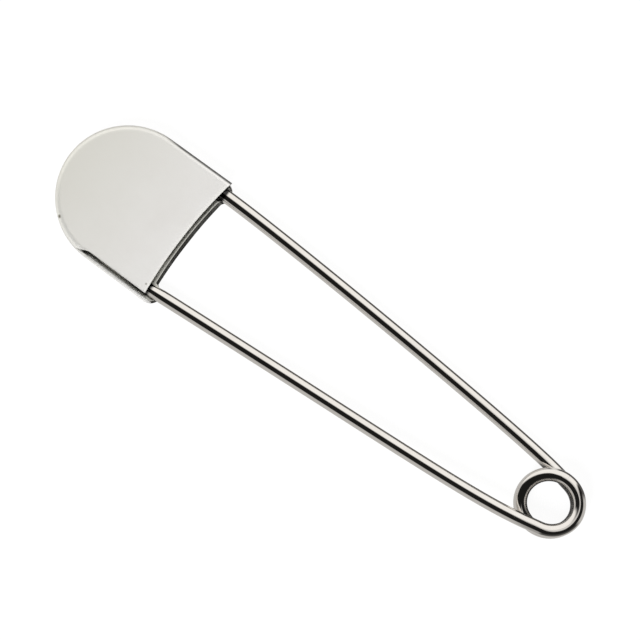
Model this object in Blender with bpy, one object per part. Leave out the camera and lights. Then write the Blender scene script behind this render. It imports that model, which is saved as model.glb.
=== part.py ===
"""Large safety pin, closed and lying flat.

+X runs from the guard to the spring coil, +Y from the pin arm to the fixed leg, and +Z out of the
guard's front plate. The pin rests on Z = 0 and the origin is the middle of its underside. One wire
makes the fixed leg, the coil and the pin arm. One folded sheet makes the guard.
"""

import math

import bmesh
import bpy
import numpy as np

# Overall sizes in metres, angles in degrees
overall_length = 0.127
wire_diameter = 0.0028

# Spring coil
coil_half_length = 0.0059  # to the middle of the wire
coil_half_width = 0.0056
coil_shift = 0.00015  # of the coil's middle towards the pin arm's side
layer_gap = 0.0005  # free space between the two layers of the coil
leg_slope_angle = 11.5  # between each leg and the pin's middle line where it leaves the coil
climb_start_angle = 100.0  # where the wire begins to pass from the upper layer to the lower one
climb_angle = 150.0  # turn over which it passes
cut_gap = 0.0003  # between the ends of two stretches of the wire

# Guard, one folded sheet
guard_width = 0.0295
guard_height = 0.0045
sheet_thickness = 0.00045
rim_radius = 0.0011  # outside radius of the bend between plate and rim
front_length = 0.02845  # along the middle line, round end to mouth
mouth_radius = 0.093  # of the hollow mouth edge
mouth_skew = 0.0022  # from the middle line to the deepest point of the mouth edge
back_overhang = 0.00125  # of the back plate past the front plate's mouth edge

# Ears of the back plate, which reach along the two wires
fold_ear_length = 0.0006
channel_ear_length = 0.0019
ear_width = 0.0050
ear_corner = 0.0013  # width over which an ear leaves the mouth edge
ear_round = 0.0030  # radius of an ear's outer corner

# Slot and channel on the pin arm's side
channel_flare_angle = 0.8  # of the channel away from the middle line, towards the mouth
channel_height = 0.0014  # at the mouth
slot_setback = 0.00112  # of the front plate's edge from the guard's side
slot_start = 0.0118  # from the round end
slot_run_in = 0.0035  # length over which the slot opens to its full size

# Seats of the wire in the guard
fold_clearance = 0.00085  # fixed leg to the inside of the fold
channel_clearance = 0.00066  # pin arm to the inside of the channel
floor_clearance = 0.0002  # pin arm to the back plate
leg_bend_length = 0.0040  # bend of the fixed leg as it leaves the fold
leg_end_depth = 0.0130  # of the fixed leg's end inside the front plate
point_depth = 0.0118  # of the pin arm's tip inside the front plate
point_length = 0.0155  # ground stretch of the pin arm
tip_radius = 0.0001
point_power_share = 0.75  # how full the ground point is, 1 for a plain cone

# Bow of the two legs between the coil and the guard: how far either end's heading reaches in
fixed_slope_angle = 0.9  # of the fixed leg as it meets the guard
fixed_coil_share = 0.125
fixed_guard_share = 0.2
arm_slope_angle = 3.7  # of the pin arm as it meets the guard
arm_coil_share = 0.147
arm_guard_share = 0.62

# The arm swings up and out through the slot about this slanted axis
swing_tilt_angle = 24.0

# How finely the round shapes are divided
wire_sides = 16
turn_points = 40
leg_points = 28
bend_points = 5
rim_steps = 5
round_end_points = 40
edge_stations = 56
slot_stations = 14
cut_overrun = 0.001
cut_reach = 0.02  # of the mouth's cutter past everything it takes away

# Places worked out from the sizes
wire_radius = wire_diameter / 2
layer_pitch = wire_diameter + layer_gap
half_width = guard_width / 2
round_end_x = -overall_length / 2
guard_centre_x = round_end_x + half_width
mouth_x = round_end_x + front_length
coil_x = overall_length / 2 - coil_half_length - wire_radius
lower_z = wire_radius
upper_z = wire_radius + layer_pitch
flare = math.tan(math.radians(channel_flare_angle)) * (mouth_x - guard_centre_x)
guard_y = flare / 2  # keeps the outline's middle on Y = 0
inner_half_width = half_width - sheet_thickness
fixed_y = guard_y + inner_half_width - fold_clearance - wire_radius
fixed_z = guard_height / 2
arm_y = guard_y - inner_half_width - flare + channel_clearance + wire_radius
arm_z = sheet_thickness + floor_clearance + wire_radius
coil_y = guard_y - coil_shift
leg_slope = math.tan(math.radians(leg_slope_angle))
fixed_slope = math.tan(math.radians(fixed_slope_angle))
arm_slope = math.tan(math.radians(arm_slope_angle))
tangent_angle = math.degrees(math.atan2(coil_half_width, coil_half_length * leg_slope))


def smooth(share):
    """0 to 1 with level ends, for a share held between 0 and 1."""
    share = np.clip(share, 0.0, 1.0)
    return share * share * (3.0 - 2.0 * share)


def coil_point(angle):
    """Middle of the wire after it has turned to this angle, from the pin arm's tangent on."""
    turn = math.radians(angle)
    fall = float(smooth((angle - climb_start_angle) / climb_angle))
    return (
        coil_x + coil_half_length * math.cos(turn),
        coil_y + coil_half_width * math.sin(turn),
        upper_z - layer_pitch * fall,
    )


def coil_heading(angle):
    """Unit direction of the wire there, from the pin arm towards the fixed leg."""
    turn = math.radians(angle)
    along = np.array((-coil_half_length * math.sin(turn), coil_half_width * math.cos(turn), 0.0))
    return along / np.linalg.norm(along)


def coil_path():
    """The wound stretch, with a straight run of one wire diameter at each end."""
    first, last = -tangent_angle, 360.0 + tangent_angle
    count = round((last - first) / 360.0 * turn_points)
    angles = np.linspace(first, last, count + 1)
    turns = [np.array(coil_point(angle)) for angle in angles]
    lead_in = turns[0] - coil_heading(first) * wire_diameter
    lead_out = turns[-1] + coil_heading(last) * wire_diameter
    return np.array([lead_in, *turns, lead_out])


def leg_curve(start, heading, coil_share, seat, slope, guard_share):
    """Bowed line from the coil to the guard, where the seat's slope is dy over -dx."""
    reach = start[0] - seat[0]
    first = start + heading * reach * coil_share
    last = seat + np.array((1.0, -slope, 0.0)) * reach * guard_share
    share = np.linspace(0.0, 1.0, leg_points)[:, None]
    rest = 1.0 - share
    near_coil = rest**3 * start + 3 * rest**2 * share * first
    near_guard = 3 * rest * share**2 * last + share**3 * seat
    return near_coil + near_guard


def fixed_leg_path(coil):
    """From the coil's lower layer into the fold of the guard, where it lies along the plate's side."""
    heading = coil_heading(tangent_angle + 360.0)
    start = coil[-1] + heading * cut_gap
    turn_in = fixed_slope * leg_bend_length / 2
    seat = np.array((mouth_x + leg_bend_length, fixed_y - turn_in, fixed_z))
    curve = leg_curve(start, heading, fixed_coil_share, seat, fixed_slope, fixed_guard_share)
    bend = np.linspace(0.0, 1.0, bend_points + 1)[1:]
    bend_x = seat[0] - bend * leg_bend_length
    bend_y = seat[1] + fixed_slope * leg_bend_length * (bend - bend**2 / 2)
    bent = np.stack([bend_x, bend_y, np.full_like(bend, seat[2])], axis=1)
    end = bent[-1] - np.array((leg_end_depth, 0.0, 0.0))
    return np.vstack([curve, bent, end])


def pin_arm_path(coil):
    """From the coil's upper layer down into the channel, and how far along it each point lies."""
    heading = -coil_heading(-tangent_angle)
    start = coil[0] + heading * cut_gap
    seat = np.array((mouth_x, arm_y, arm_z))
    curve = leg_curve(start, heading, arm_coil_share, seat, -arm_slope, arm_guard_share)
    share = np.linspace(0.0, 1.0, leg_points // 2)[1:, None]
    inside = seat + share * np.array((-1.0, -arm_slope, 0.0)) * point_depth
    path = np.vstack([curve, inside])
    steps = np.linalg.norm(np.diff(path, axis=0), axis=1)
    return path, np.concatenate([[0.0], np.cumsum(steps)])


def arm_radii(along):
    """Full radius up to the ground stretch, then a slightly full taper down to the tip."""
    left = np.clip((along[-1] - along) / point_length, 0.0, 1.0)
    return np.maximum(tip_radius, wire_radius * left**point_power_share)


def least_gap(path):
    """Least free space between stretches of one wire that aren't neighbours along it."""
    along = np.concatenate([[0.0], np.cumsum(np.linalg.norm(np.diff(path, axis=0), axis=1))])
    apart = np.linalg.norm(path[:, None] - path[None, :], axis=2)
    far = np.abs(along[:, None] - along[None, :]) > math.pi * coil_half_width
    return apart[far].min() - wire_diameter


def clear_scene():
    for old in list(bpy.data.objects):
        bpy.data.objects.remove(old, do_unlink=True)


def metal(name, colour, roughness):
    """Bright plated steel."""
    material = bpy.data.materials.new(name)
    material.use_nodes = True
    shader = material.node_tree.nodes["Principled BSDF"]
    shader.inputs["Base Color"].default_value = (*colour, 1.0)
    shader.inputs["Metallic"].default_value = 1.0
    shader.inputs["Roughness"].default_value = roughness
    return material


def empty(name, location, parent=None, tilt=0.0):
    """A pivot. Its own Z is the axis, leant over by the tilt towards +Y."""
    pivot = bpy.data.objects.new(name, None)
    pivot.empty_display_size = coil_half_width
    pivot.location = location
    pivot.rotation_euler = (-tilt, 0.0, 0.0)
    bpy.context.collection.objects.link(pivot)
    if parent:
        pivot.parent = parent
        pivot.matrix_parent_inverse = parent.matrix_world.inverted()
    bpy.context.view_layer.update()
    return pivot


def wire(name, path, radii, material, pivot=None):
    """Round wire along a path: a bevelled curve whose ends are closed."""
    curve = bpy.data.curves.new(name, "CURVE")
    curve.dimensions = "3D"
    curve.bevel_depth = wire_radius
    curve.bevel_resolution = wire_sides // 2 - 2
    curve.use_fill_caps = True
    curve.twist_mode = "MINIMUM"
    spline = curve.splines.new("POLY")
    spline.points.add(len(path) - 1)
    spline.points.foreach_set("co", np.column_stack([path, np.ones(len(path))]).ravel())
    spline.points.foreach_set("radius", radii / wire_radius)
    curve.materials.append(material)
    item = bpy.data.objects.new(name, curve)
    bpy.context.collection.objects.link(item)
    if pivot:
        item.parent = pivot
        item.matrix_parent_inverse = pivot.matrix_world.inverted()
    return item


def skin(name, rings, cap_first, cap_last, closed):
    """Mesh object over rings of equal count, with a face across either end where asked."""
    shape = bmesh.new()
    rows = [[shape.verts.new(point) for point in ring] for ring in rings]
    sides = len(rows[0]) if closed else len(rows[0]) - 1
    for lower, upper in zip(rows, rows[1:]):
        for i in range(sides):
            j = (i + 1) % len(lower)
            shape.faces.new((lower[i], lower[j], upper[j], upper[i]))
    if cap_first:
        shape.faces.new(rows[0][::-1])
    if cap_last:
        shape.faces.new(rows[-1])
    bmesh.ops.recalc_face_normals(shape, faces=shape.faces)
    mesh = bpy.data.meshes.new(name)
    shape.to_mesh(mesh)
    shape.free()
    item = bpy.data.objects.new(name, mesh)
    bpy.context.collection.objects.link(item)
    return item


def guard_outline(inset, end_x):
    """The guard from above, drawn in by an inset: fold side, round end, then the flared channel side."""
    radius = half_width - inset
    sweep = np.radians(np.linspace(90.0, 270.0 - channel_flare_angle, round_end_points + 1))
    arc_x = guard_centre_x + radius * np.cos(sweep)
    arc_y = guard_y + radius * np.sin(sweep)
    end_y = arc_y[-1] - math.tan(math.radians(channel_flare_angle)) * (end_x - arc_x[-1])
    x = np.concatenate([[end_x], arc_x, [end_x]])
    y = np.concatenate([[arc_y[0]], arc_y, [end_y]])
    return x, y


def guard_shell(material):
    """Front plate, bent rim, wall and back plate as one sheet, open at the mouth."""
    bend = np.linspace(0.0, math.pi / 2, rim_steps + 1)
    inset = rim_radius * (1 - np.sin(bend))
    rise = rim_radius * (1 - np.cos(bend))
    levels = [(inset[i], rise[i]) for i in range(rim_steps + 1)]
    levels += [(inset[i], guard_height - rise[i]) for i in reversed(range(rim_steps + 1))]
    end_x = mouth_x + back_overhang + channel_ear_length + 2 * cut_overrun
    rings = []
    for drawn_in, z in levels:
        x, y = guard_outline(drawn_in, end_x)
        rings.append(np.stack([x, y, np.full_like(x, z)], axis=1))
    guard = skin("guard_cap", rings, True, True, closed=False)
    guard.data.materials.append(material)
    sheet = guard.modifiers.new("sheet", "SOLIDIFY")
    sheet.thickness = sheet_thickness
    sheet.offset = -1.0
    sheet.use_even_offset = True
    return guard


def mouth_edge(y):
    """X of the front plate's hollow mouth edge."""
    return mouth_x + (y - guard_y + mouth_skew) ** 2 / (2 * mouth_radius)


def ear_edge(y):
    """X of the back plate's mouth edge, with an ear along each wire and rounded outer corners."""
    side = np.abs(y - guard_y)
    outer = np.where(y < guard_y, half_width + flare, half_width)
    ear_length = np.where(y < guard_y, channel_ear_length, fold_ear_length)
    rise = smooth((side - (outer - ear_width)) / ear_corner)
    rounding = np.clip((side - (outer - ear_round)) / ear_round, 0.0, 1.0)
    dropped = ear_round * (1 - np.sqrt(1 - rounding**2))
    return mouth_edge(y) + back_overhang + ear_length * rise - dropped


def mouth_cutter():
    """Everything past the mouth: the back edge up to the channel's height, the front edge above."""
    reach = half_width + flare + cut_overrun
    stations = guard_y + reach * np.sin(np.linspace(-math.pi / 2, math.pi / 2, edge_stations))
    far_x = mouth_x + cut_reach
    back, front = ear_edge(stations), mouth_edge(stations)
    levels = [
        (-cut_overrun, back),
        (channel_height, back),
        (guard_height - rim_radius, front),
        (guard_height + cut_overrun, front),
    ]
    rings = []
    for z, edge in levels:
        near = np.stack([edge, stations, np.full_like(edge, z)], axis=1)
        ends = [(far_x, stations[-1], z), (far_x, stations[0], z)]
        rings.append(np.vstack([near, ends]))
    return skin("mouth_cut", rings, True, True, closed=True)


def slot_cutter():
    """Opens the wall above the channel and sets the front plate's edge back, growing from nothing."""
    x = np.linspace(round_end_x + slot_start, mouth_x + channel_ear_length + 3 * cut_overrun, slot_stations)
    open_share = smooth((x - x[0]) / slot_run_in)
    side = guard_y - half_width + slot_setback
    deepest = side - slot_setback - flare - cut_overrun
    high = guard_height + cut_overrun
    start_z = guard_height - rim_radius
    rings = []
    for at_x, share in zip(x, open_share):
        edge = side - slot_setback * (1 - share)
        low = start_z + (channel_height - start_z) * share
        rings.append([(at_x, edge, low), (at_x, deepest, low), (at_x, deepest, high), (at_x, edge, high)])
    return skin("slot_cut", rings, True, True, closed=True)


def cut(target, cutter):
    """Takes the cutter out of the target, and hides the cutter."""
    boolean = target.modifiers.new(cutter.name, "BOOLEAN")
    boolean.operation = "DIFFERENCE"
    boolean.solver = "EXACT"
    boolean.object = cutter
    cutter.hide_render = True
    cutter.display_type = "WIRE"


def guard_cap(material):
    guard = guard_shell(material)
    cut(guard, slot_cutter())
    cut(guard, mouth_cutter())
    guard.data.shade_smooth()
    guard.data.set_sharp_from_angle(angle=math.radians(35.0))
    return guard


def build():
    clear_scene()
    plate_finish = metal("bright_plated_sheet", (0.80, 0.79, 0.76), 0.22)
    wire_finish = metal("bright_plated_wire", (0.74, 0.73, 0.71), 0.12)
    coil = coil_path()
    fixed = fixed_leg_path(coil)
    arm, along = pin_arm_path(coil)
    whole = np.vstack([arm[::-1], coil, fixed])
    print(f"least gap of the wire to itself {least_gap(whole) * 1000:.2f} mm")
    guard_cap(plate_finish)
    wire("fixed_leg", fixed, np.full(len(fixed), wire_radius), wire_finish)
    coil_pivot = empty("coil_pivot", (coil_x, coil_y, lower_z))
    wire("spring_coil", coil, np.full(len(coil), wire_radius), wire_finish, coil_pivot)
    tilt = math.radians(swing_tilt_angle)
    arm_pivot = empty("arm_pivot", (coil_x, coil_y, upper_z), coil_pivot, tilt)
    wire("pin_arm", arm, arm_radii(along), wire_finish, arm_pivot)


build()
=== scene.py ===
# %% [markdown]
# # A large safety pin, dressed for the photograph
# The real pin is two pieces: one hard wire, bent round into a coil with two legs, and one sheet of
# plated steel folded over both leg ends as a guard. The imported model gives the sizes, the bodies and
# the joints. This lesson makes smoother surfaces over them, gives them a plated finish, and lights them.
#
# The file starts by loading the model.

import math

import bmesh
import bpy
import numpy as np
from mathutils import Matrix


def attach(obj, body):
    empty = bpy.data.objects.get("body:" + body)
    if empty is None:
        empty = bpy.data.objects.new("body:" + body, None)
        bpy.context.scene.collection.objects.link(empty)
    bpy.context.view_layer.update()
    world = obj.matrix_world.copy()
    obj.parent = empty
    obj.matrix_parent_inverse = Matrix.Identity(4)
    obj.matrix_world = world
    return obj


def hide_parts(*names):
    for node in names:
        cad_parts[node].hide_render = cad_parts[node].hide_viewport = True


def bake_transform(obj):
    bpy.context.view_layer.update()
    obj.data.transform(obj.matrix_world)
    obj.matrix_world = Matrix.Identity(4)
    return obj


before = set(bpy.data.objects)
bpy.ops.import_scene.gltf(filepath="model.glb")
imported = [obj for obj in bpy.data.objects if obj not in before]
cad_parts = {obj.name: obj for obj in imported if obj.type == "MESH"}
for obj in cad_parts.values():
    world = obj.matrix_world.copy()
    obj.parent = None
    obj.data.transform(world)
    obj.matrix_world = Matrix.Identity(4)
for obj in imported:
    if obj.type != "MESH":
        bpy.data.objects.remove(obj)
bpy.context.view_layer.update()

# %% [markdown]
# ## Sizes
# Everything is in metres, in the model's own frame: +X from the guard to the coil, +Y from the pin arm
# to the fixed leg, +Z up. The sizes could be read back from the model's meshes, but the curves between
# them could not, so the few numbers that draw the pin are written once here, as on a maker's drawing.

# %% Sizes of the wire
mm = 0.001
overall_length = 127.0 * mm
wire_radius = 1.4 * mm
coil_half_length, coil_half_width = 5.9 * mm, 5.6 * mm
coil_shift = 0.15 * mm
layer_pitch = 3.3 * mm
leg_slope_angle = 11.5
climb_start_angle, climb_angle = 100.0, 150.0
leg_end_depth, point_depth = 13.0 * mm, 11.8 * mm
point_length, tip_radius = 15.5 * mm, 0.1 * mm
print(f"wire {2 * wire_radius / mm:.1f} mm thick, the pin {overall_length / mm:.0f} mm long")

# %% Sizes of the guard
guard_half_width = 14.75 * mm
guard_height = 4.5 * mm
sheet_thickness = 0.45 * mm
rim_radius = 1.1 * mm
front_length = 28.45 * mm
mouth_radius, mouth_skew = 93.0 * mm, 2.2 * mm
back_overhang = 1.25 * mm
fold_ear_length, channel_ear_length = 0.6 * mm, 1.9 * mm
ear_width, ear_corner, ear_round = 4.6 * mm, 1.3 * mm, 3.0 * mm
channel_flare_angle = 0.8
channel_height = 1.4 * mm
slot_setback = 1.12 * mm
slot_start, slot_run_in = 11.8 * mm, 3.5 * mm
curl_radius = 0.62 * mm
fold_clearance, channel_clearance, floor_clearance = 0.85 * mm, 0.66 * mm, 0.2 * mm
print(f"guard {2 * guard_half_width / mm:.1f} mm wide, of {sheet_thickness / mm:.2f} mm sheet")

# %% Where the parts lie
round_end_x = -overall_length / 2
guard_centre_x = round_end_x + guard_half_width
mouth_x = round_end_x + front_length
flare_slope = math.tan(math.radians(channel_flare_angle))
flare = flare_slope * (mouth_x - guard_centre_x)
guard_y = flare / 2
coil_x = overall_length / 2 - coil_half_length - wire_radius
coil_y = guard_y - coil_shift
upper_z = wire_radius + layer_pitch
print(f"coil centre at x {coil_x / mm:.2f} mm, mouth at x {mouth_x / mm:.2f} mm")

# %% [markdown]
# ## Helpers
# A surface here is a grid of points: an array of shape (rows, columns, 3). Neighbouring rows and columns
# make four-sided faces. Blender could skin curves by itself, but a grid that is worked out as one array
# keeps every point under control, and from_pydata takes it as it is.


# %% Grid helpers
def smooth(share):
    """Eased step: 0 below 0, 1 above 1, and 3s^2 - 2s^3 between, so that both ends are level."""
    share = np.clip(share, 0.0, 1.0)
    return share * share * (3.0 - 2.0 * share)


def grid_faces(rows, columns, around=False, first=0):
    """Corner numbers of the faces of a grid whose points are numbered row by row.

    Face (i, j) has the corners (i, j), (i, j+1), (i+1, j+1), (i+1, j). With around, the last column
    joins the first."""
    i, j = np.meshgrid(np.arange(rows - 1), np.arange(columns if around else columns - 1), indexing="ij")
    k = (j + 1) % columns
    corners = np.stack([i * columns + j, i * columns + k, (i + 1) * columns + k, (i + 1) * columns + j], -1)
    return (corners + first).reshape(-1, 4)


def mesh_object(name, points, faces):
    """A mesh object at the origin, unturned, with its place in its mesh."""
    mesh = bpy.data.meshes.new(name)
    mesh.from_pydata(points.reshape(-1, 3).tolist(), [], [list(face) for face in faces])
    mesh.update()
    item = bpy.data.objects.new(name, mesh)
    bpy.context.collection.objects.link(item)
    return item


print("faces of a grid of 3 by 3 points", grid_faces(3, 3).tolist())

# %% [markdown]
# ## The wire's path
# The middle line of the wire is a chain of simple curves that share their headings where they meet: a
# straight stretch inside the guard, a slow bow along each leg, a straight run of about one wire diameter,
# and one and a half turns of an ellipse whose height eases from the upper layer to the lower one. A curve
# drawn by hand would look the same from above, but it would not follow the model's own wire.


# %% Coil and bow formulas
def coil_points(degrees):
    """Ellipse about the coil's middle. Height is the upper layer's, less the pitch times an eased step."""
    turned = np.radians(degrees)
    fall = smooth((degrees - climb_start_angle) / climb_angle)
    x = coil_x + coil_half_length * np.cos(turned)
    y = coil_y + coil_half_width * np.sin(turned)
    return np.stack([x, y, upper_z - layer_pitch * fall], axis=-1)


def coil_heading(degrees):
    """Unit tangent of the ellipse at that angle, counter-clockwise."""
    turned = math.radians(degrees)
    tangent = np.array((-coil_half_length * math.sin(turned), coil_half_width * math.cos(turned), 0.0))
    return tangent / np.linalg.norm(tangent)


def bowed_leg(start, heading, seat, slope, coil_share, guard_share, count=90):
    """Cubic Bezier curve, whose handles follow the coil's heading and the slope dy / -dx at the guard.
    Each handle is a share of the leg's reach: the shorter it is, the quicker the wire turns there."""
    reach = start[0] - seat[0]
    first = start + heading * reach * coil_share
    last = seat + np.array((1.0, -slope, 0.0)) * reach * guard_share
    s = np.linspace(0.0, 1.0, count)[:, None]
    return (1 - s) ** 3 * start + 3 * (1 - s) ** 2 * s * first + 3 * (1 - s) * s**2 * last + s**3 * seat


print("the coil's heading at 0 and at 90 degrees", coil_heading(0.0).round(3), coil_heading(90.0).round(3))

# %% Where the legs leave the coil
leg_slope = math.tan(math.radians(leg_slope_angle))
tangent_angle = math.degrees(math.atan2(coil_half_width, coil_half_length * leg_slope))
lead = 2 * wire_radius + 0.3 * mm
lower_heading = coil_heading(360.0 + tangent_angle)
lower_start = coil_points(np.array([360.0 + tangent_angle]))[0] + lower_heading * lead
upper_heading = -coil_heading(-tangent_angle)
upper_start = coil_points(np.array([-tangent_angle]))[0] + upper_heading * lead
print("legs start at", (lower_start / mm).round(2), "and", (upper_start / mm).round(2), "mm")

# %% Seats of the two legs in the guard
inner_half_width = guard_half_width - sheet_thickness
fixed_y = guard_y + inner_half_width - fold_clearance - wire_radius
arm_y = guard_y - inner_half_width - flare + channel_clearance + wire_radius
arm_z = sheet_thickness + floor_clearance + wire_radius
fixed_slope, arm_slope = math.tan(math.radians(0.9)), math.tan(math.radians(3.7))
bend_length = 4.0 * mm
fixed_seat = np.array((mouth_x + bend_length, fixed_y - fixed_slope * bend_length / 2, guard_height / 2))
arm_seat = np.array((mouth_x, arm_y, arm_z))
print(f"fixed leg {fixed_y / mm:.2f} mm and pin arm {arm_y / mm:.2f} mm from the middle line at the mouth")

# %% Middle lines of the two legs
fixed_bow = bowed_leg(lower_start, lower_heading, fixed_seat, fixed_slope, coil_share=0.125, guard_share=0.2)
bend_share = np.linspace(0.0, 1.0, 14)[1:]
bend_x = fixed_seat[0] - bend_share * bend_length
bend_y = fixed_seat[1] + fixed_slope * bend_length * (bend_share - bend_share**2 / 2)
fixed_bend = np.stack([bend_x, bend_y, np.full_like(bend_share, fixed_seat[2])], axis=1)
fixed_end = fixed_bend[-1] - np.array((leg_end_depth, 0.0, 0.0))
fixed_leg_line = np.vstack([fixed_bow, fixed_bend, fixed_end])

arm_bow = bowed_leg(upper_start, upper_heading, arm_seat, -arm_slope, coil_share=0.147, guard_share=0.62)
into_guard = np.array((-1.0, -arm_slope, 0.0)) * point_depth
arm_inside = arm_seat + np.linspace(0.0, 1.0, 40)[1:, None] * into_guard
pin_arm_line = np.vstack([arm_bow, arm_inside])
print("points on the fixed leg's line", len(fixed_leg_line), "and on the pin arm's", len(pin_arm_line))

# %% [markdown]
# ## The wire's skin
# A round wire is a circle carried along a path. A curve object with a bevel does this too, but its
# normals are averaged from facets, and where two lengths of wire meet in the coil a mirror finish would
# show the joint as a line. So the tube is worked out here with its exact normals: at each ring, two unit
# vectors stand square to the path, and the normal leans back a little where the point tapers.


# %% Tube helper
def tube(name, path, radii, sides=36):
    """Ring point = path point + radius * (cos a * side + sin a * up), where side is level and square to
    the path, and up is the path's heading crossed with side. Flat caps close both ends. The UV map has
    the length along the wire and the way round it, both in metres."""
    step = np.gradient(path, axis=0)
    heading = step / np.linalg.norm(step, axis=1, keepdims=True)
    side = np.cross(np.array((0.0, 0.0, 1.0)), heading)
    side /= np.linalg.norm(side, axis=1, keepdims=True)
    up = np.cross(heading, side)
    angles = np.linspace(0.0, 2 * math.pi, sides, endpoint=False)
    spoke = np.cos(angles)[None, :, None] * side[:, None] + np.sin(angles)[None, :, None] * up[:, None]
    points = path[:, None] + radii[:, None, None] * spoke
    run = np.concatenate([[0.0], np.cumsum(np.linalg.norm(np.diff(path, axis=0), axis=1))])
    lean = np.gradient(radii, run)[:, None, None]
    normals = spoke - lean * heading[:, None]
    normals /= np.linalg.norm(normals, axis=2, keepdims=True)

    rows = len(path)
    quads = grid_faces(rows, sides, around=True)
    first_cap = np.arange(sides)[::-1]
    last_cap = np.arange(sides) + (rows - 1) * sides
    item = mesh_object(name, points, [*quads, first_cap, last_cap])
    mesh = item.data
    corner = np.empty(len(mesh.loops), dtype=np.int32)
    mesh.loops.foreach_get("vertex_index", corner)
    corner_normals = normals.reshape(-1, 3)[corner]
    corner_normals[-2 * sides : -sides] = -heading[0]
    corner_normals[-sides:] = heading[-1]
    mesh.shade_smooth()
    mesh.normals_split_custom_set(corner_normals.tolist())

    row, column = corner // sides, corner % sides
    seam = np.zeros(len(corner), dtype=bool)
    seam[: quads.size] = (quads % sides == 0).ravel() & np.tile([False, True, True, False], len(quads))
    turn_share = np.where(seam, sides, column) / sides
    uv = mesh.uv_layers.new(name="along_wire")
    uv_points = np.stack([run[row], turn_share * 2 * math.pi * wire_radius], axis=1)
    uv.data.foreach_set("uv", uv_points.ravel())
    return item


# %% [markdown]
# ## Three lengths of wire
# On the real pin this is one wire. In the model it is three bodies, so that the arm can be pressed in and
# swung out, and a surface can bend between two bodies but not three. The wire is therefore cut inside the
# coil: the fixed leg with the lower half turn, the turn between, and the pin arm with the upper half turn.
# The cuts lie across Y, on the coil's two sides.
#
# The point is ground, not drawn out: its radius falls from the full wire with the distance to the tip,
# raised to a power below one, which gives the slightly full taper that a grinding belt leaves.

# %% Fixed leg and coil
lower_turn = coil_points(np.linspace(270.0, 360.0 + tangent_angle, 120))
fixed_path = np.vstack([lower_turn, fixed_leg_line])
fixed_wire = tube("fixed_leg_wire", fixed_path, np.full(len(fixed_path), wire_radius))

middle_turn = coil_points(np.linspace(90.0, 270.0, 121))
coil_wire = tube("coil_wire", middle_turn, np.full(len(middle_turn), wire_radius))
print("faces of the fixed leg and the coil", len(fixed_wire.data.polygons), len(coil_wire.data.polygons))

# %% Pin arm with its ground point
upper_turn = coil_points(np.linspace(90.0, -tangent_angle, 120))
pin_path = np.vstack([upper_turn, pin_arm_line])
to_tip = np.linalg.norm(np.diff(pin_path, axis=0), axis=1)[::-1].cumsum()[::-1]
to_tip = np.append(to_tip, 0.0)
pin_radii = np.maximum(tip_radius, wire_radius * np.clip(to_tip / point_length, 0.0, 1.0) ** 0.75)
pin_wire = tube("pin_arm_wire", pin_path, pin_radii)
print(f"pin arm {to_tip[0] / mm:.1f} mm along the wire, faces", len(pin_wire.data.polygons))

# %% [markdown]
# ## The guard
# The guard is one sheet, folded round on the fixed leg's side and curled up into a channel on the other,
# with a drawn rim about the round end. It could be cut from a block as a machinist would, but a sheet is
# better described as a sheet: one surface with a named path along the outline and another across it,
# from the middle of the front plate over the rim and down to the middle of the back plate.
#
# The outline is a row of stations: down the fold's straight side from the mouth, round the end, and back
# along the channel's side. Each has a point on the middle line, a hub and an outward direction. Stations
# stand closer together near the mouth, where a highlight is painted along the edge.

# %% Stations along the outline
edge_band = 1.0 * mm
near_mouth = mouth_x - edge_band * np.linspace(0.0, 1.0, 15)[:-1]
straight_x = np.concatenate([near_mouth, np.linspace(mouth_x - edge_band, guard_centre_x, 38)])
arc_angles = np.radians(np.linspace(90.0, 270.0 - channel_flare_angle, 110))[1:-1]
leg_count, arc_count = len(straight_x), len(arc_angles)
fold = slice(0, leg_count)
arc = slice(leg_count, leg_count + arc_count)
channel = slice(leg_count + arc_count, None)

station_x = np.concatenate([straight_x, np.full(arc_count, guard_centre_x), straight_x[::-1]])
station_count = len(station_x)
spine = np.column_stack([station_x, np.full(station_count, guard_y)])
hub = spine.copy()
hub[channel, 1] -= flare_slope * (station_x[channel] - guard_centre_x)
flared = math.radians(channel_flare_angle)
outward = np.zeros_like(spine)
outward[fold] = (0.0, 1.0)
outward[arc] = np.stack([np.cos(arc_angles), np.sin(arc_angles)], axis=1)
outward[channel] = (-math.sin(flared), -math.cos(flared))
print("stations", station_count)


# %% Ends of the two plates
def mouth_edge(y):
    """Front plate's hollow edge: a flat arc, drawn as a parabola x0 + (y - y0)^2 / 2R."""
    return mouth_x + (y - guard_y + mouth_skew) ** 2 / (2 * mouth_radius)


def ear_edge(y):
    """Back plate's edge: the same arc set forward, plus an eased step for each ear, less the sagitta
    R - sqrt(R^2 - d^2) that rounds the ear's outer corner."""
    side = np.abs(y - guard_y)
    outer = np.where(y < guard_y, guard_half_width + flare, guard_half_width)
    ear_length = np.where(y < guard_y, channel_ear_length, fold_ear_length)
    rise = smooth((side - (outer - ear_width)) / ear_corner)
    rounding = np.clip((side - (outer - ear_round)) / ear_round, 0.0, 1.0)
    return mouth_edge(y) + back_overhang + ear_length * rise - ear_round * (1 - np.sqrt(1 - rounding**2))


both_ears = guard_y + np.array((-12.0, 12.0)) * mm
ear_reach = (ear_edge(both_ears) - mouth_edge(both_ears)) / mm
print("the ears reach past the front plate by", ear_reach.round(2), "mm")


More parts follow.
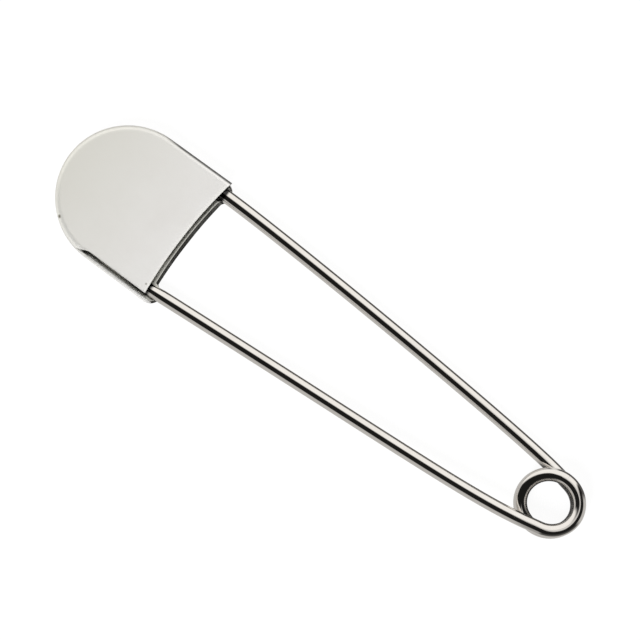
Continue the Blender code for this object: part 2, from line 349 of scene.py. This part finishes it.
# %% Surface of the guard
def guard_grid(across, bend, height, radius=rim_radius):
    """Point = spine + across * (outline - spine), for outline = hub + (half width - inset) * outward.

    across runs from 0 on the middle line to 1 at the rim. bend is the turn of the rim from level, in
    radians, and radius its own: inset = radius (1 - sin bend). height is the point's own height. The
    straight sides are then stretched along X, more and more towards the mouth, until they end on the
    mouth's edge."""
    inset = radius * (1 - np.sin(bend))
    edge = hub[:, None] + (guard_half_width - inset)[..., None] * outward[:, None]
    flat = spine[:, None] + across[..., None] * (edge - spine[:, None])
    x, y = flat[..., 0], flat[..., 1]
    mouth_y = np.where(outward[:, 1:] > 0, y[:1], y[-1:])
    front_share = smooth((height - channel_height) / (guard_height - rim_radius - channel_height))
    end = ear_edge(mouth_y) + (mouth_edge(mouth_y) - ear_edge(mouth_y)) * front_share
    stretch = np.clip((x - guard_centre_x) / (mouth_x - guard_centre_x), 0.0, 1.0)
    shift = stretch * (end - mouth_x)
    shift[arc] = 0.0
    y = y.copy()
    y[channel] -= flare_slope * shift[channel] * across[channel]
    return np.stack([x + shift, y, height], axis=-1)


# %% [markdown]
# ## The slot and the curled lip
# On the channel's side the sheet isn't closed: the arm comes out there. The front plate stops short of
# the side, with its edge turned down slightly, and the back plate's side is curled up into a low
# half-round lip. Cutting the slot with a boolean would leave a raw hole in a square wall. Here a share
# that eases from 0 to 1 along the outline turns the full wall into the two edges, in two grids that
# share their border behind the slot and part where it opens.

# %% How far the slot is open
from_round_end = hub[:, 0] + guard_half_width * outward[:, 0] - round_end_x
run_in = smooth((from_round_end - slot_start) / slot_run_in)
slot_share = np.where(outward[:, 1] < 0, run_in, 0.0)[:, None]
every_station = np.ones((station_count, 1))

plate_share = np.concatenate([np.linspace(0.0, 0.6, 13), np.linspace(0.6, 1.0, 41)[1:]])
rim_share = np.linspace(0.0, 1.0, 13)[1:]
wall_share = np.linspace(0.0, 1.0, 13)
print("stations where the slot is fully open", int((slot_share == 1.0).sum()))

# %% Front plate with its rim
turned_down_share = 0.25
bend_setback = rim_radius * (1 - turned_down_share)
last_bend = np.arcsin(1 - (1 - turned_down_share) * slot_share)
plate_share_at_slot = (guard_half_width - slot_setback) / (guard_half_width - bend_setback)
narrowed = 1 - (1 - plate_share_at_slot) * slot_share

front_across = narrowed * np.concatenate([plate_share, np.ones_like(rim_share)])
front_bend = np.hstack([every_station * np.zeros_like(plate_share), last_bend * rim_share])
front_height = guard_height - rim_radius * (1 - np.cos(front_bend))
front = guard_grid(front_across, front_bend, front_height)
print("front grid", front.shape)

# %% Wall, lip and back plate
side_radius = rim_radius + (curl_radius - rim_radius) * slot_share
upright = (guard_height - 2 * rim_radius) * (1 - slot_share)
wall_bend = math.pi / 2 * (1 + slot_share * (1 - wall_share))
wall_height = side_radius * (1 - np.cos(wall_bend)) + upright * (1 - wall_share)
lower_bend = every_station * math.pi / 2 * (1 - rim_share)
lower_height = side_radius * (1 - np.cos(lower_bend))
on_floor = every_station * np.zeros(len(plate_share) - 1)

back_shares = np.concatenate([np.ones(len(wall_share) + len(rim_share)), plate_share[::-1][1:]])
back_across = every_station * back_shares
back_bend = np.hstack([wall_bend, lower_bend, on_floor])
back_height = np.hstack([wall_height, lower_height, on_floor])
back = guard_grid(back_across, back_bend, back_height, side_radius)
print("back grid", back.shape)

# %% [markdown]
# ## One sheet from both grids
# The shared border and the middle line of each plate have doubled points, which are merged. The normals
# are then made to agree and to point outwards, while the surface is still a thin skin: once it has a
# thickness, the inner side would count as a second outside.

# %% Guard mesh
guard_points = np.vstack([front.reshape(-1, 3), back.reshape(-1, 3)])
front_faces = grid_faces(station_count, front.shape[1])
back_faces = grid_faces(station_count, back.shape[1], first=front.shape[0] * front.shape[1])
guard = mesh_object("guard_sheet", guard_points, np.vstack([front_faces, back_faces]))
shape = bmesh.new()
shape.from_mesh(guard.data)
bmesh.ops.remove_doubles(shape, verts=shape.verts, dist=0.002 * mm)
bmesh.ops.recalc_face_normals(shape, faces=shape.faces)
top_face = max(shape.faces, key=lambda face: face.calc_center_median().z)
if top_face.normal.z < 0:
    bmesh.ops.reverse_faces(shape, faces=shape.faces)
shape.to_mesh(guard.data)
shape.free()
guard.data.shade_smooth()
print("guard faces", len(guard.data.polygons))

# %% [markdown]
# ## Thickness and edges
# A sheet has the same thickness everywhere, which Solidify gives, inwards. Only the back plate's cut edge is
# dressed thinner, so a vertex group lowers the thickness over its last 0.8 mm. Bevel breaks the cut edges,
# which catch the light in the photograph. A second attribute marks the front plate's mouth, where the
# material paints a bright highlight along the edge.

# %% Thinned edge, and the painted highlight along the mouth
places = np.empty(3 * len(guard.data.vertices))
guard.data.vertices.foreach_get("co", places)
places = places.reshape(-1, 3)
thinned_width, thinned_by = 0.8 * mm, 0.44
to_ear_edge = np.clip((ear_edge(places[:, 1]) - places[:, 0]) / thinned_width, 0.0, 1.0)
thinning = np.where(places[:, 2] < guard_height / 2, 1 - to_ear_edge, 0.0)
share_left = 1 - thinned_by * thinning
thickness = guard.vertex_groups.new(name="thickness")
for share in np.unique(share_left):
    thickness.add(np.flatnonzero(share_left == share).tolist(), float(share), "REPLACE")

# Painted highlight: a lighter colour along the front plate's mouth, which fades out over 1.1 mm.
highlight_width = 1.1 * mm
to_mouth = (mouth_edge(places[:, 1]) - places[:, 0]) / highlight_width
on_front = places[:, 2] > guard_height - 0.02 * mm
highlight_share = np.where(on_front, 1 - smooth(to_mouth), 0.0)
highlighted = guard.data.attributes.new("highlighted", "FLOAT", "POINT")
highlighted.data.foreach_set("value", highlight_share.astype(np.float32))
print("points in the thinned edge", int((thinning > 0).sum()), "in the worn one", int((highlight_share > 0).sum()))

# %% Thickness, broken edges and even shading
wall = guard.modifiers.new("wall", "SOLIDIFY")
wall.thickness = sheet_thickness
wall.offset = -1.0
wall.use_even_offset = True
wall.vertex_group = "thickness"
wall.material_offset = 1
edges = guard.modifiers.new("edges", "BEVEL")
edges.width = 0.09 * mm
edges.segments = 2
edges.limit_method = "ANGLE"
edges.angle_limit = math.radians(50.0)
edges.use_clamp_overlap = True
normals = guard.modifiers.new("normals", "WEIGHTED_NORMAL")
normals.mode = "FACE_AREA"
normals.weight = 100
normals.keep_sharp = False
print("modifiers", [modifier.name for modifier in guard.modifiers])

# %% [markdown]
# ## Plating
# Both pieces are nickel-plated steel, but not alike: the sheet was rolled and lightly tumbled, so its
# gloss is soft and faintly clouded, and the wire was drawn and polished, so it mirrors its surroundings
# as sharp bands. A photograph of metal could be wrapped round them, but noise in the shader keeps its
# scale on every face. One node group works out clouds, fine grain and rubbing marks for both.
#
# Nodes could be laid out by hand in the editor. In a script one helper does it: it makes a node, sets its
# inputs, and joins those that are another node's output.


# %% Node helper
def node(tree, kind, inputs=None, **settings):
    """One shader node. inputs maps each input's name or number to a value, or to an output to join."""
    made = tree.nodes.new("ShaderNode" + kind)
    for setting, value in settings.items():
        setattr(made, setting, value)
    for key, value in (inputs or {}).items():
        if isinstance(value, bpy.types.NodeSocket):
            tree.links.new(value, made.inputs[key])
        else:
            made.inputs[key].default_value = value
    return made


# %% Plating marks, shared by all finishes
marks = bpy.data.node_groups.new("plating_marks", "ShaderNodeTree")
marks.interface.new_socket("Vector", in_out="INPUT", socket_type="NodeSocketVector")
marks.interface.new_socket("Cloud Scale", in_out="INPUT", socket_type="NodeSocketFloat")
marks.interface.new_socket("Grain Scale", in_out="INPUT", socket_type="NodeSocketFloat")
marks.interface.new_socket("Rub Stretch", in_out="INPUT", socket_type="NodeSocketVector")
marks.interface.new_socket("Clouds", in_out="OUTPUT", socket_type="NodeSocketFloat")
marks.interface.new_socket("Grain", in_out="OUTPUT", socket_type="NodeSocketFloat")
marks.interface.new_socket("Rubs", in_out="OUTPUT", socket_type="NodeSocketFloat")
given, put_out = marks.nodes.new("NodeGroupInput").outputs, marks.nodes.new("NodeGroupOutput").inputs

clouds = node(marks, "TexNoise", {"Vector": given["Vector"], "Scale": given["Cloud Scale"], "Detail": 3.0})
grain = node(marks, "TexNoise", {"Vector": given["Vector"], "Scale": given["Grain Scale"], "Detail": 2.0})
stretched = node(marks, "VectorMath", {0: given["Vector"], 1: given["Rub Stretch"]}, operation="MULTIPLY")
rub = node(marks, "TexNoise", {"Vector": stretched.outputs["Vector"], "Scale": 1.0, "Detail": 4.0})
rub_edge = node(marks, "MapRange", {"Value": rub.outputs["Fac"], "From Min": 0.56, "From Max": 0.72})
marks.links.new(clouds.outputs["Fac"], put_out["Clouds"])
marks.links.new(grain.outputs["Fac"], put_out["Grain"])
marks.links.new(rub_edge.outputs["Result"], put_out["Rubs"])
print("plating marks give", [socket.name for socket in put_out if socket.name])


# %% A plated finish
def plated(
    name, tone, roughness, cloud_scale, grain_scale, rub_stretch, bump,
    source="Object", metallic=1.0, spots=(),
):
    """Principled shader of plated steel. Colour runs through the two tones with the clouds, and each spot
    (mask, colour) is mixed over it. Roughness runs through its two values with the clouds and 0.35 of
    the rubs. Grain and rubs together are the height of a slight bump."""
    material = bpy.data.materials.new(name)
    material.use_nodes = True
    tree = material.node_tree
    shader = tree.nodes["Principled BSDF"].inputs
    group = tree.nodes.new("ShaderNodeGroup")
    group.node_tree = marks
    tree.links.new(node(tree, "TexCoord").outputs[source], group.inputs["Vector"])
    group.inputs["Cloud Scale"].default_value = cloud_scale
    group.inputs["Grain Scale"].default_value = grain_scale
    group.inputs["Rub Stretch"].default_value = rub_stretch

    ramp = node(tree, "ValToRGB", {"Fac": group.outputs["Clouds"]})
    for stop, position, colour in zip(ramp.color_ramp.elements, (0.3, 0.7), tone):
        stop.position, stop.color = position, (*colour, 1.0)
    base = ramp.outputs["Color"]
    for mask, colour in spots:
        mixed = node(tree, "Mix", {"Factor": mask(tree), 6: base, 7: (*colour, 1.0)}, data_type="RGBA")
        base = mixed.outputs[2]
    tree.links.new(base, shader["Base Color"])
    shader["Metallic"].default_value = metallic

    worn_down = {0: group.outputs["Rubs"], 1: 0.35, 2: group.outputs["Clouds"]}
    wear = node(tree, "Math", worn_down, operation="MULTIPLY_ADD").outputs[0]
    gloss, rough = roughness
    dullness = {"Value": wear, "From Min": 0.3, "From Max": 0.9, "To Min": gloss, "To Max": rough}
    tree.links.new(node(tree, "MapRange", dullness).outputs["Result"], shader["Roughness"])

    relief = node(tree, "Math", {0: group.outputs["Grain"], 1: group.outputs["Rubs"]}, operation="ADD")
    raised = node(tree, "Bump", {"Strength": bump, "Distance": 0.02 * mm, "Height": relief.outputs[0]})
    tree.links.new(raised.outputs["Normal"], shader["Normal"])
    return material


# %% [markdown]
# ## Marks and painted light
# A few marks belong to places and not to the whole plating. Two are real: a nick on the rim and a fainter one
# at the mouth. The others are painted light and shade: the plate is painted darker towards the round end as
# shade, with a slight yellow tone of its own, a highlight is painted along the mouth's edge, a dark line of
# shade is painted along the fold, and the wires are painted dark as shade where they come out from under the
# sheet and along the arm's side inside the mouth. They could be painted by hand on an image. Here each is a
# mask that is worked out from the place on the piece.


# %% Masks
def step_along(axis, nothing, full):
    """Mask from 0 at one value of an object coordinate to 1 at the other, and level past both."""

    def mask(tree):
        place = node(tree, "TexCoord").outputs["Object"]
        value = node(tree, "SeparateXYZ", {"Vector": place}).outputs[axis]
        span = {"Value": value, "From Min": nothing, "From Max": full}
        return node(tree, "MapRange", span).outputs["Result"]

    return mask


def nick(middle, size):
    """Mask of one small nick: 1 within a third of its size from its middle, 0 from its size outwards."""

    def mask(tree):
        place = node(tree, "TexCoord").outputs["Object"]
        apart = node(tree, "VectorMath", {0: place, 1: middle}, operation="DISTANCE").outputs["Value"]
        span = {"Value": apart, "From Min": size, "From Max": size / 3}
        return node(tree, "MapRange", span).outputs["Result"]

    return mask


def where_all(*masks, strength=1.0):
    """Product of several masks and a strength."""

    def mask(tree):
        value = strength
        for part in masks:
            value = node(tree, "Math", {0: part(tree), 1: value}, operation="MULTIPLY").outputs[0]
        return value

    return mask


def painted_edge_highlight(tree):
    """The attribute that is 1 along the front plate's mouth, where a bright highlight is painted, and 0 from
    a millimetre in.
    """
    return node(tree, "Attribute", attribute_name="highlighted").outputs["Fac"]


# %% Places of the marks
# Painted shade with a slight yellow tone of the plating: the plate's colour runs darker and yellower from the
# mouth to the round end, standing for the light that falls off there.
round_end_shade_and_tint = step_along("X", mouth_x, round_end_x)
# Painted shade: a near-black line along the top of the fold's outer edge, towards the mouth.
painted_fold_shade = where_all(
    step_along("Y", 14.15 * mm, 14.42 * mm),
    step_along("Z", 3.3 * mm, 3.7 * mm),
    step_along("X", -50.0 * mm, -46.0 * mm),
    strength=0.8,
)
# Painted shade on the wires, where the fixed leg and the pin arm come out from under the guard's mouth.
leg_shade_at_mouth = where_all(
    step_along("Y", 0.0, 1.0 * mm),
    step_along("X", -34.8 * mm, -34.5 * mm),
    step_along("X", -32.7 * mm, -33.1 * mm),
)
arm_shade_at_mouth = where_all(
    step_along("Y", 0.0, -1.0 * mm),
    step_along("X", -35.6 * mm, -35.3 * mm),
    step_along("X", -33.7 * mm, -34.3 * mm),
)
# Painted shade on the pin arm's outer side, inside the guard behind the mouth.
arm_shade_in_guard = where_all(
    step_along("Y", -12.8 * mm, -13.2 * mm),
    step_along("X", -34.7 * mm, -35.3 * mm),
    step_along("X", -46.0 * mm, -38.0 * mm),
)
rim_nick = nick((-57.6 * mm, -11.3 * mm, 4.2 * mm), 0.5 * mm)
mouth_nick = nick((-35.4 * mm, -12.1 * mm, 4.5 * mm), 0.3 * mm)

# %% Colours of the marks
# On the sheet: painted shade with a yellow tone towards the round end, a painted highlight along the mouth,
# painted shade along the fold, and two real nicks.
sheet_spots = [
    (round_end_shade_and_tint, (0.78, 0.775, 0.72)),
    (painted_edge_highlight, (0.99, 0.985, 0.96)),
    (painted_fold_shade, (0.05, 0.05, 0.05)),
    (rim_nick, (0.20, 0.19, 0.15)),
    (mouth_nick, (0.45, 0.44, 0.40)),
]
# All the marks on the wires are painted shade, near black.
painted_wire_shades = [(mask, (0.04, 0.04, 0.04)) for mask in (leg_shade_at_mouth, arm_shade_at_mouth, arm_shade_in_guard)]
print("marks on the sheet", len(sheet_spots), "and on the wires", len(painted_wire_shades))

# %% [markdown]
# ## Three finishes
# The sheet's outside is satin: half of its light is scattered, so it looks an even pale grey from any side,
# as in the photograph. That is why it is only partly metallic. Its inside was never tumbled and stays glossy:
# the same plating with another roughness, and its tone is a little darker as painted shade inside the guard.
# The wire is a true mirror, slightly warm, and its pattern follows the wire through the UV map, where the
# sheet's follows the object.

# %% Finish of the sheet
sheet_finish = plated(
    "plated_sheet",
    tone=((0.885, 0.875, 0.86), (0.935, 0.93, 0.92)),
    roughness=(0.32, 0.44),
    cloud_scale=160.0,
    grain_scale=2600.0,
    rub_stretch=(90.0, 1400.0, 900.0),
    bump=0.12,
    metallic=0.45,
    spots=sheet_spots,
)
# Glossy inside of the guard, with its tone a little darker than the outside's: painted shade.
inside_finish = plated(
    "plated_inside",
    tone=((0.78, 0.78, 0.73), (0.86, 0.86, 0.82)),
    roughness=(0.14, 0.22),
    cloud_scale=160.0,
    grain_scale=2600.0,
    rub_stretch=(90.0, 1400.0, 900.0),
    bump=0.12,
)
guard.data.materials.append(sheet_finish)
guard.data.materials.append(inside_finish)
print("guard materials", [material.name for material in guard.data.materials])

# %% Finish of the wire
wire_finish = plated(
    "plated_wire",
    tone=((0.72, 0.695, 0.665), (0.77, 0.75, 0.72)),
    roughness=(0.06, 0.13),
    cloud_scale=240.0,
    grain_scale=3000.0,
    rub_stretch=(60.0, 1800.0, 1800.0),
    bump=0.05,
    source="UV",
    spots=painted_wire_shades,
)
for item in (fixed_wire, coil_wire, pin_wire):
    item.data.materials.append(wire_finish)
print("nodes in the wire's material", len(wire_finish.node_tree.nodes))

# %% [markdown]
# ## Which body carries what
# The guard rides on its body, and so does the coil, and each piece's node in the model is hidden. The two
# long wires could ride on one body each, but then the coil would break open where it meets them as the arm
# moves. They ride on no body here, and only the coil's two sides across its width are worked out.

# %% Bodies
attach(guard, "guard_and_leg")
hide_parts("guard_cap")
far_side, near_side = (coil_x, coil_y + coil_half_width, 0.0), (coil_x, coil_y - coil_half_width, 0.0)
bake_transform(fixed_wire)
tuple(far_side)
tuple(near_side)
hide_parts("fixed_leg")
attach(coil_wire, "coil")
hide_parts("spring_coil")
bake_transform(pin_wire)
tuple(far_side)
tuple(near_side)
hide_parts("pin_arm")
print(f"the wires bend between y {near_side[1] / mm:.2f} and {far_side[1] / mm:.2f} mm")

# %% [markdown]
# ## Table
# The pin was photographed on a white ground that shows hardly any shadow, while the polished wire mirrors
# much darker surroundings. One plain material can't do both, so the table answers each kind of ray in its
# own way: the camera sees a glowing white with a faint shadow, a mirrored ray passes through to the
# painted surroundings except in the shade under the coil, and other light meets pale grey paint. It is
# open from below, and lies 0.03 mm lower than the pin, because two surfaces in one plane would flicker.

# %% Table top
table_half_width, table_drop = 2.0, 0.03 * mm
table_corners = table_half_width * np.array([(-1.0, -1.0), (1.0, -1.0), (1.0, 1.0), (-1.0, 1.0)])
table_points = np.column_stack([table_corners, np.full(4, -table_drop)])
table = mesh_object("table", table_points, [(0, 1, 2, 3)])
table_paint = bpy.data.materials.new("white_table")
table_paint.use_nodes = True
table.data.materials.append(table_paint)
print("table", [round(side, 2) for side in table.dimensions[:2]], "m")

# %% Paints of the table
paint_tree = table_paint.node_tree
paint_tree.nodes.remove(paint_tree.nodes["Principled BSDF"])


def matt_paint(*colour):
    """Matt paint of one even colour: red, green and blue."""
    return node(paint_tree, "BsdfDiffuse", {"Color": (*colour, 1.0)}).outputs[0]


thin_paint, shade_paint = matt_paint(0.12, 0.12, 0.12), matt_paint(0.16, 0.16, 0.16)
pale_paint = matt_paint(0.62, 0.62, 0.61)
glow = node(paint_tree, "Emission", {"Strength": 0.925}).outputs[0]
open_floor = node(paint_tree, "BsdfTransparent").outputs[0]
print("paints", [paint.bl_label for paint in paint_tree.nodes])


# %% What the table shows to each ray
def either(share, first, second):
    """Mix of two shaders: the first where the share is 0, the second where it is 1."""
    return node(paint_tree, "MixShader", {"Fac": share, 1: first, 2: second}).outputs[0]


shade_edge, shade_full = 8.0 * mm, 6.2 * mm
on_table = node(paint_tree, "TexCoord").outputs["Object"]
to_coil = node(paint_tree, "VectorMath", {0: on_table, 1: (coil_x, coil_y, 0.0)}, operation="DISTANCE")
shade_span = {"Value": to_coil.outputs["Value"], "From Min": shade_edge, "From Max": shade_full}
under_coil = node(paint_tree, "MapRange", shade_span).outputs["Result"]
ray = node(paint_tree, "LightPath").outputs
to_camera = node(paint_tree, "AddShader", {0: thin_paint, 1: glow}).outputs[0]
to_mirror = either(under_coil, open_floor, shade_paint)
to_others = either(ray["Is Glossy Ray"], pale_paint, to_mirror)
from_above = either(ray["Is Camera Ray"], to_others, to_camera)
from_below = node(paint_tree, "NewGeometry").outputs["Backfacing"]
table_surface = either(from_below, from_above, open_floor)
paint_tree.links.new(table_surface, paint_tree.nodes["Material Output"].inputs["Surface"])
print("nodes in the table's material", len(paint_tree.nodes))

# %% [markdown]
# ## Surroundings
# Polished metal has hardly any colour of its own: it looks as its surroundings do. In the photograph each
# wire has a bright band and a black band along it, and the ring of the coil turns them through the whole
# room. Area lamps and cards could be hung about until they fit, but a sky that is painted by direction
# gives the same bands with less noise. It is drawn in the picture's own directions, right and down, and
# the camera itself sees plain white.

# %% Sky and its directions
roll = math.radians(35.85)
world = bpy.data.worlds.new("studio")
bpy.context.scene.world = world
world.use_nodes = True
sky = world.node_tree
direction = node(sky, "TexCoord").outputs["Generated"]
flattened = node(sky, "VectorMath", {0: direction, 1: (1.0, 1.0, 0.0)}, operation="MULTIPLY")
bearing = node(sky, "VectorMath", {0: flattened.outputs["Vector"]}, operation="NORMALIZE").outputs["Vector"]


def along(axis, looked_at=direction):
    """Cosine of the angle between the axis and the direction that is looked at, or only its bearing."""
    return node(sky, "VectorMath", {0: looked_at, 1: axis}, operation="DOT_PRODUCT").outputs["Value"]


down_frame = along((math.sin(roll), -math.cos(roll), 0.0))
across_frame = along((math.cos(roll), math.sin(roll), 0.0))
upward = along((0.0, 0.0, 1.0))
print(f"the picture's right is {math.degrees(roll):.2f} degrees from the pin's length")


# %% Sky helpers
def fade(value, nothing, full, brightness=1.0):
    """Eased step from 0 at one value to the brightness at the other, which may be the lower of the two."""
    low, high = sorted((nothing, full))
    at_low, at_high = (0.0, brightness) if full > nothing else (brightness, 0.0)
    span = {"Value": value, "From Min": low, "From Max": high, "To Min": at_low, "To Max": at_high}
    return node(sky, "MapRange", span, interpolation_type="SMOOTHSTEP").outputs["Result"]


def combine(operation, first, *others):
    """Math nodes in a row, each with the next of the others, which are outputs or numbers."""
    for other in others:
        first = node(sky, "Math", {0: first, 1: other}, operation=operation).outputs[0]
    return first


def away_from(degrees, least=0.0):
    """Mask that is at its least within 28 degrees of a bearing on the table, and 1 from 45 degrees on."""
    axis = (math.cos(math.radians(degrees)), math.sin(math.radians(degrees)), 0.0)
    return combine("MAXIMUM", fade(along(axis, bearing), 0.88, 0.70), least)


# %% [markdown]
# ## Bright and dark parts of the room
# Four parts are painted. A large panel fills the upper left, and its edge, stepped and slanted, draws
# the border between the bright and the black band. A narrow glint hangs below that edge, a little to the
# right. A pale floor begins a little above the horizon and reaches down, except towards two bearings: one
# beside the fixed leg, and one beside the ring, where it begins lower. A dim floor fills what is left.
# Where parts overlap, the brightest is seen, and nothing is quite black.

# %% Painted parts
stepped = combine("ADD", down_frame, fade(across_frame, 0.02, -0.22, 0.16))
slanted = combine("ADD", across_frame, combine("MULTIPLY", down_frame, 0.9))
panel_height = fade(stepped, 0.02, -0.30, 1.02)
panel = combine("MULTIPLY", panel_height, fade(slanted, 0.38, 0.20), fade(upward, -0.05, 0.12))
glint_height = fade(down_frame, 0.42, 0.12, 0.75)
glint = combine("MULTIPLY", fade(across_frame, 0.36, 0.20), fade(across_frame, 0.02, 0.12), glint_height)
beside_ring = combine("MAXIMUM", away_from(-34.0, 0.1), fade(upward, -0.1, -0.5))
pale_floor = combine("MULTIPLY", fade(upward, 0.45, 0.28, 0.54), away_from(88.0), beside_ring)
dim_floor = fade(upward, 0.25, -0.02, 0.10)
brightness = combine("MAXIMUM", panel, pale_floor, glint, dim_floor, 0.012)
print("nodes in the sky", len(sky.nodes))

# %% Colour of the sky
black, warm_white, white = (0.0, 0.0, 0.0, 1.0), (1.16, 1.14, 1.11, 1.0), (1.0, 1.0, 1.0, 1.0)
painted = node(sky, "Mix", {"Factor": brightness, 6: black, 7: warm_white}, data_type="RGBA").outputs[2]
to_lens = node(sky, "LightPath").outputs["Is Camera Ray"]
shown = node(sky, "Mix", {"Factor": to_lens, 6: painted, 7: white}, data_type="RGBA").outputs[2]
sky.links.new(shown, sky.nodes["Background"].inputs["Color"])
print("nodes in the sky with its colour", len(sky.nodes))

# %% [markdown]
# ## Lamp
# One large soft lamp on the pin arm's side gives the satin sheet its even tone and the pin its faint
# shadow. A sun would draw a hard one. The lamp is hidden from mirrored rays, so that it adds no disk to
# the bands on the wire.

# %% Soft lamp
lamp_data = bpy.data.lights.new("soft_lamp", "AREA")
lamp_data.shape = "DISK"
lamp_data.size = 0.5
lamp_data.energy = 8.5
lamp = bpy.data.objects.new("soft_lamp", lamp_data)
lamp_out, lamp_up = 0.65, 0.65
lamp.location = (0.0, -lamp_out, lamp_up)
lamp.rotation_euler = (math.atan2(lamp_out, lamp_up), 0.0, 0.0)
lamp.visible_glossy = False
bpy.context.collection.objects.link(lamp)
print("lamp", lamp_data.energy, "W")

# %% [markdown]
# ## Camera
# The photograph looks almost straight down on the pin: 7 degrees off the vertical towards the pin arm's
# side, which lets the slot be seen, and 1.5 degrees towards the coil. The pin lies across the frame with
# its coil at the lower right, so the camera is rolled. It could be aimed by eye, but its axes are worked
# out here from those angles, so that each can be changed alone. The lens is long, as for a small thing on
# a table.

# %% Axes of the camera
distance = 0.7
frame_width = 129.3 * mm
lean_to_arm, lean_to_coil = math.radians(7.0), math.radians(1.5)
target = np.array((-2.87, 2.85, 2.5)) * mm
toward = np.array((math.tan(lean_to_coil), -math.tan(lean_to_arm), 1.0))
toward /= np.linalg.norm(toward)
unrolled_right = np.array((1.0, 0.0, 0.0)) - toward[0] * toward
unrolled_right /= np.linalg.norm(unrolled_right)
unrolled_up = np.cross(toward, unrolled_right)
right = math.cos(roll) * unrolled_right + math.sin(roll) * unrolled_up
above = np.cross(toward, right)
print("camera at", (target + distance * toward).round(3), "m")

# %% Camera
film_width = 36.0
camera_data = bpy.data.cameras.new("camera")
camera_data.sensor_width = film_width
camera_data.lens = film_width * distance / frame_width
camera_data.clip_start = 0.01
camera = bpy.data.objects.new("camera", camera_data)
pose = np.eye(4)
pose[:3, 0], pose[:3, 1], pose[:3, 2], pose[:3, 3] = right, above, toward, target + distance * toward
camera.matrix_world = Matrix(pose.tolist())
bpy.context.collection.objects.link(camera)
bpy.context.scene.camera = camera
bpy.context.scene.view_settings.view_transform = "Standard"
print(f"lens {camera_data.lens:.0f} mm")
